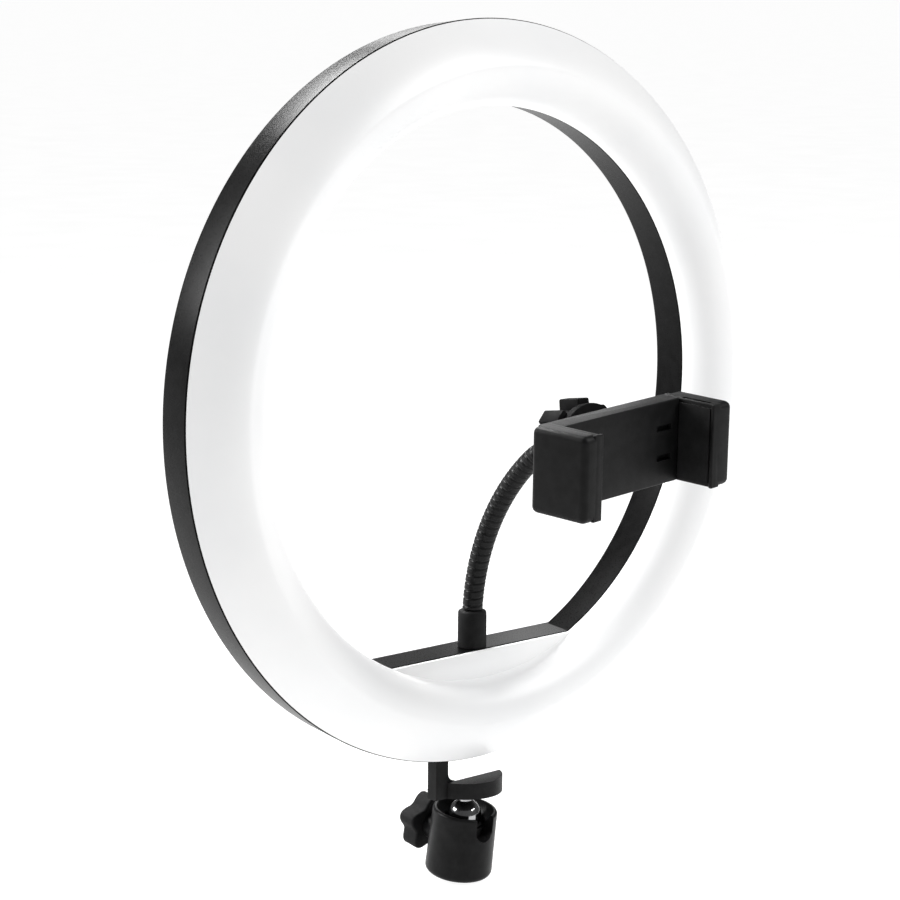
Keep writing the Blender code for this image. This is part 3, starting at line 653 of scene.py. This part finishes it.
def make_stud():
    """The chromed ball with its stem."""
    low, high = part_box("ball_stud")
    radius = BALL.z - low.z
    tip = high.z - BALL.z
    start = math.degrees(math.acos(STEM / radius))
    profile = [(0, tip), (STEM - 0.6 * MM, tip - 0.1 * MM), (STEM, tip - 0.6 * MM)]
    profile += sphere_arc(radius, start, -90, 48)
    piece(
        "chrome_ball",
        revolve(profile, 96),
        Matrix.Translation(BALL),
        "stud",
        CHROME,
        "ball_chrome",
        "ball_stud",
    )


def lobed(tip, valley, lobes, count):
    """A closed wavy outline with one lobe pointing along +Y."""
    points = []
    for i in range(count):
        angle = 2 * math.pi * i / count
        wave = math.cos(lobes * (angle - math.pi / 2))
        radius = (tip + valley) / 2 + (tip - valley) / 2 * wave
        points.append((radius * math.cos(angle), radius * math.sin(angle)))
    return points


def make_knob():
    """The lobed rubber knob, bored for its screw."""
    body = prism(lobed(10.35 * MM, 7.7 * MM, 5, 200), 15.9 * MM, 23.5 * MM, 0.9 * MM, 5)
    body = carve(body, rods(2.7 * MM, 14 * MM, 22.3 * MM))
    piece("knob_grip", body, KNOB, "lock_knob", RUBBER, "knob_rubber", "lock_knob")


# The bracket's places, in millimetres from the ring's centre.
FOOT_RADIUS = 13.5
FOOT_LOW = -143.9
FOOT_HIGH = -138.1
FOOT_DEPTH = 8
FOOT_SLOPE = math.radians(-24.5)
ARM_LEFT = -18
ARM_RIGHT = -12.2
ARM_FRONT = 3.5
FILLET = 3.5


def make_bracket():
    """A half-round foot under the ring, and the arm and tongue that hold it."""
    middle = ((0, FOOT_DEPTH * MM),)
    foot = rods(FOOT_RADIUS * MM, FOOT_LOW * MM, FOOT_HIGH * MM, middle, 128)
    slope = box_mm((-20, 0, 0), (20, 30, 12))
    slope.transform(
        Matrix.Translation((0, ARM_FRONT * MM, FOOT_HIGH * MM))
        @ Matrix.Rotation(FOOT_SLOPE, 4, "X")
    )
    foot = carve(foot, slope)
    toe = box_mm((-17, ARM_FRONT, FOOT_LOW), (-8, 7.5, -138.5))
    arm = box_mm((ARM_LEFT, ARM_FRONT, FOOT_LOW), (ARM_RIGHT, 7.9, -124))
    tongue = box_mm((-24.2, ARM_FRONT, -124.6), (-4, 5.5, -113))
    right = ARM_RIGHT * MM
    top = FOOT_HIGH * MM
    bend = FILLET * MM
    curve = [(right - MM, top - MM), (right + bend, top - MM)]
    curve += arc(bend, 270, 180, 10, (right + bend, top + bend))
    curve.append((right - MM, top + bend))
    gusset = moved(
        prism(curve, -4.7 * MM, -3.55 * MM), Matrix.Rotation(math.pi / 2, 4, "X")
    )
    hole = rods(2.8 * MM, -145 * MM, -137 * MM, middle)
    foot = union(foot, toe, arm, tongue, gusset)
    foot = carve(foot, hole)
    piece("bracket_arm", foot, RING, "ring", PAINT, "bracket_paint", "bracket")


# ---------------------------------------------------------------- ball joint and clip


def lugs(count):
    """A round core with square lugs on it, one pointing along +Y."""
    side = [(11.9, 3.4), (12.3, 2.8), (15.5, 2.65), (15.95, 2.45), (16.1, 2.05)]
    points = []
    for i in range(count):
        turn = Matrix.Rotation(2 * math.pi * i / count, 2)
        corners = [(-across, out) for out, across in side[::-1]]
        corners = [(across, out) for out, across in side] + corners
        points += [turn @ Vector(corner) * MM for corner in corners]
    return [(point.x, point.y) for point in points]


def make_nut():
    """The clamp nut: a flanged sleeve with a ball lip, and its lugs."""
    profile = [
        (13.9 * MM, 1.8 * MM),
        (14.25 * MM, 1.65 * MM),
        (14.4 * MM, 1.3 * MM),
        (14.4 * MM, -1 * MM),
        (11.6 * MM, -1 * MM),
        (11.6 * MM, -12.3 * MM),
        (9.5 * MM, -12.3 * MM),
        (9.5 * MM, 0),
        (6.29 * MM, 0),
        (5.91 * MM, 2.2 * MM),
        (7.5 * MM, 2.2 * MM),
        (8.4 * MM, 1.8 * MM),
    ]
    nut = revolve(profile, 96, closed=True)
    wings = prism(lugs(8), -10.5 * MM, -1.2 * MM, 0.4 * MM, 3)
    wings = carve(wings, rods(10.5 * MM, -11 * MM, -0.5 * MM, sides=96))
    nut = union(nut, wings)
    piece("winged_nut", nut, SOCKET, "clamp_nut", NUT_PLASTIC, "clip_black", "clamp_nut")


SCREWS = [(x * MM, z * MM) for x in (-29.5, 25.5) for z in (-10.4, 10.4)]


def jaw_inside(cheek_start, cheek_end, lip_start, lip_end):
    """The crisp inner side of a jaw, and the lip that keeps a phone in it."""
    cheek = box_mm((cheek_start, -15.58, -14.48), (cheek_end, 7.4, 14.48), 0.5)
    lip = box_mm((lip_start, -15.56, -14.44), (lip_end, -14.2, 14.44), 0.4)
    return cheek, lip


def make_clip():
    """The plate with its fixed jaw, then the jaw that slides on it."""
    upright = Matrix.Rotation(math.pi / 2, 4, "X")
    body = box_mm((-35, 0, -14.4), (28.95, 7.53, 14.4), 0.45)
    jaw = box_mm((-38.3, -15.6, -14.5), (-30.4, 7.6, 14.5), 2.3, 6)
    tray = box_mm((-33, 1.5, -12.4), (31, 9.5, 12.4))
    upper = box_mm((17.4, -1, 4.1), (24.9, 2, 6.2))
    lower = box_mm((17.9, -1, -6.2), (25, 2, -4.1))
    bosses = moved(rods(2 * MM, -5.8 * MM, -MM, SCREWS, 32), upright)
    holes = moved(rods(1.1 * MM, -8 * MM, -1.6 * MM, SCREWS, 24), upright)
    body = union(body, jaw, *jaw_inside(-33, -30.4, -33.4, -29.2))
    body = carve(body, tray)
    body = union(body, bosses)
    body = carve(body, holes, upper, lower)
    piece("clip_frame", body, CLIP, "clip", CLIP_PLASTIC, "clip_black", "clip_body")

    slider = box_mm((29.25, -15.6, -14.5), (38.25, 7.53, 14.5), 2.3, 6)
    tongue = box_mm((-16, 1.9, -8), (32, 3.7, 8))
    groove = box_mm((29.7, -12.5, 12.6), (31.1, -0.5, 15.5))
    fork = box_mm((-17, 1, -2.2), (22, 5, 2.2))
    slider = union(slider, *jaw_inside(29.25, 32, 28.05, 32.3), tongue)
    slider = carve(slider, groove, fork)
    piece("clip_jaw", slider, CLIP, "clip_slider", CLIP_PLASTIC, "clip_black", "clip_slider")


def dress_frame():
    """The CAD nodes that still show get their own materials."""
    looks = {
        STEEL: ["lock_screw", "bracket_screw_1", "bracket_screw_2", "neck_nut", "clip_spring"]
        + [f"shell_screw_{i}" for i in range(1, 9)]
        + [f"clip_screw_{i}" for i in range(1, 5)],
        BRASS: ["tripod_insert"],
        CLIP_PLASTIC: ["neck_ferrule", "clip_ball_stud", "clip_cover"],
        RUBBER: [
            "ball_liner",
            "seat_plunger",
            "clip_ball_cup",
            "cable_gland",
            "jaw_pad_left",
            "jaw_pad_right",
        ],
        BOARD: ["led_board_left", "led_board_right"],
    }
    for look, names in looks.items():
        for name in names:
            mesh = frame["nodes"][name].data
            mesh.materials.clear()
            mesh.materials.append(look)


# ---------------------------------------------------------------- studio


# Each lamp's name, place, width in metres and power in watts.
LAMPS = (
    ("key", (0.9, -1.2, 1.5), 1.1, 32),
    ("crown", (0.03, 0.32, 0.59), 0.2, 4.6),
    ("edge", (-0.5, 0.5, 0.52), 0.35, 9.0),
    ("low", (1.0, 1.08, 0.78), 0.5, 3.0),
)


def make_studio():
    """A plain pale floor, a faint sky and four soft lamps."""
    shape = bmesh.new()
    bmesh.ops.create_grid(shape, x_segments=4, y_segments=4, size=40)
    floor = as_object(shape, "floor")
    floor.location.z = CAD_LOW.z - 0.5 * MM
    look = finish_of(
        "floor_paper",
        (0.26, 0.26, 0.26),
        (0.28, 0.28, 0.28),
        (0.8, 0.9),
        mottle=3,
        grain=60,
        relief=0.0,
        specular=0.05,
        glow=(0.93, 0.95),
    )
    floor.data.materials.append(look)

    world = bpy.data.worlds.new("studio")
    bpy.context.scene.world = world
    world.use_nodes = True
    sky = world.node_tree.nodes["Background"]
    sky.inputs["Color"].default_value = (1, 1, 1, 1)
    sky.inputs["Strength"].default_value = 0.13

    for name, spot, size, power in LAMPS:
        lamp = bpy.data.lights.new(name, "AREA")
        lamp.size = size
        lamp.energy = power
        made = bpy.data.objects.new(name, lamp)
        made.location = spot
        aim = RING_CENTRE - Vector(spot)
        made.rotation_euler = aim.to_track_quat("-Z", "Y").to_euler()
        bpy.context.scene.collection.objects.link(made)


def make_camera():
    """The photographer's standpoint, measured from the ring's centre."""
    yaw, pitch, roll = 0.739472, -0.171950, 0.008560
    ahead = Vector(
        (math.sin(yaw) * math.cos(pitch), math.cos(yaw) * math.cos(pitch), math.sin(pitch))
    )
    level = Vector((math.cos(yaw), -math.sin(yaw), 0))
    lift = level.cross(ahead)
    right = level * math.cos(roll) + lift * math.sin(roll)
    up = lift * math.cos(roll) - level * math.sin(roll)
    data = bpy.data.cameras.new("camera")
    data.lens = 113.0
    data.sensor_width = 36.0
    data.clip_start = 0.01
    data.clip_end = 200
    made = bpy.data.objects.new("camera", data)
    spot = RING_CENTRE + Vector((-663.955, -710.515, 149.439)) * MM
    made.matrix_world = axes_matrix(spot, right, up, -ahead)
    bpy.context.scene.collection.objects.link(made)
    bpy.context.scene.camera = made


make_housing()
make_diffuser()
make_neck()
make_collar()
make_head()
make_stud()
make_knob()
make_bracket()
make_nut()
make_clip()
dress_frame()
make_studio()
make_camera()
bpy.context.scene.view_settings.view_transform = "Standard"
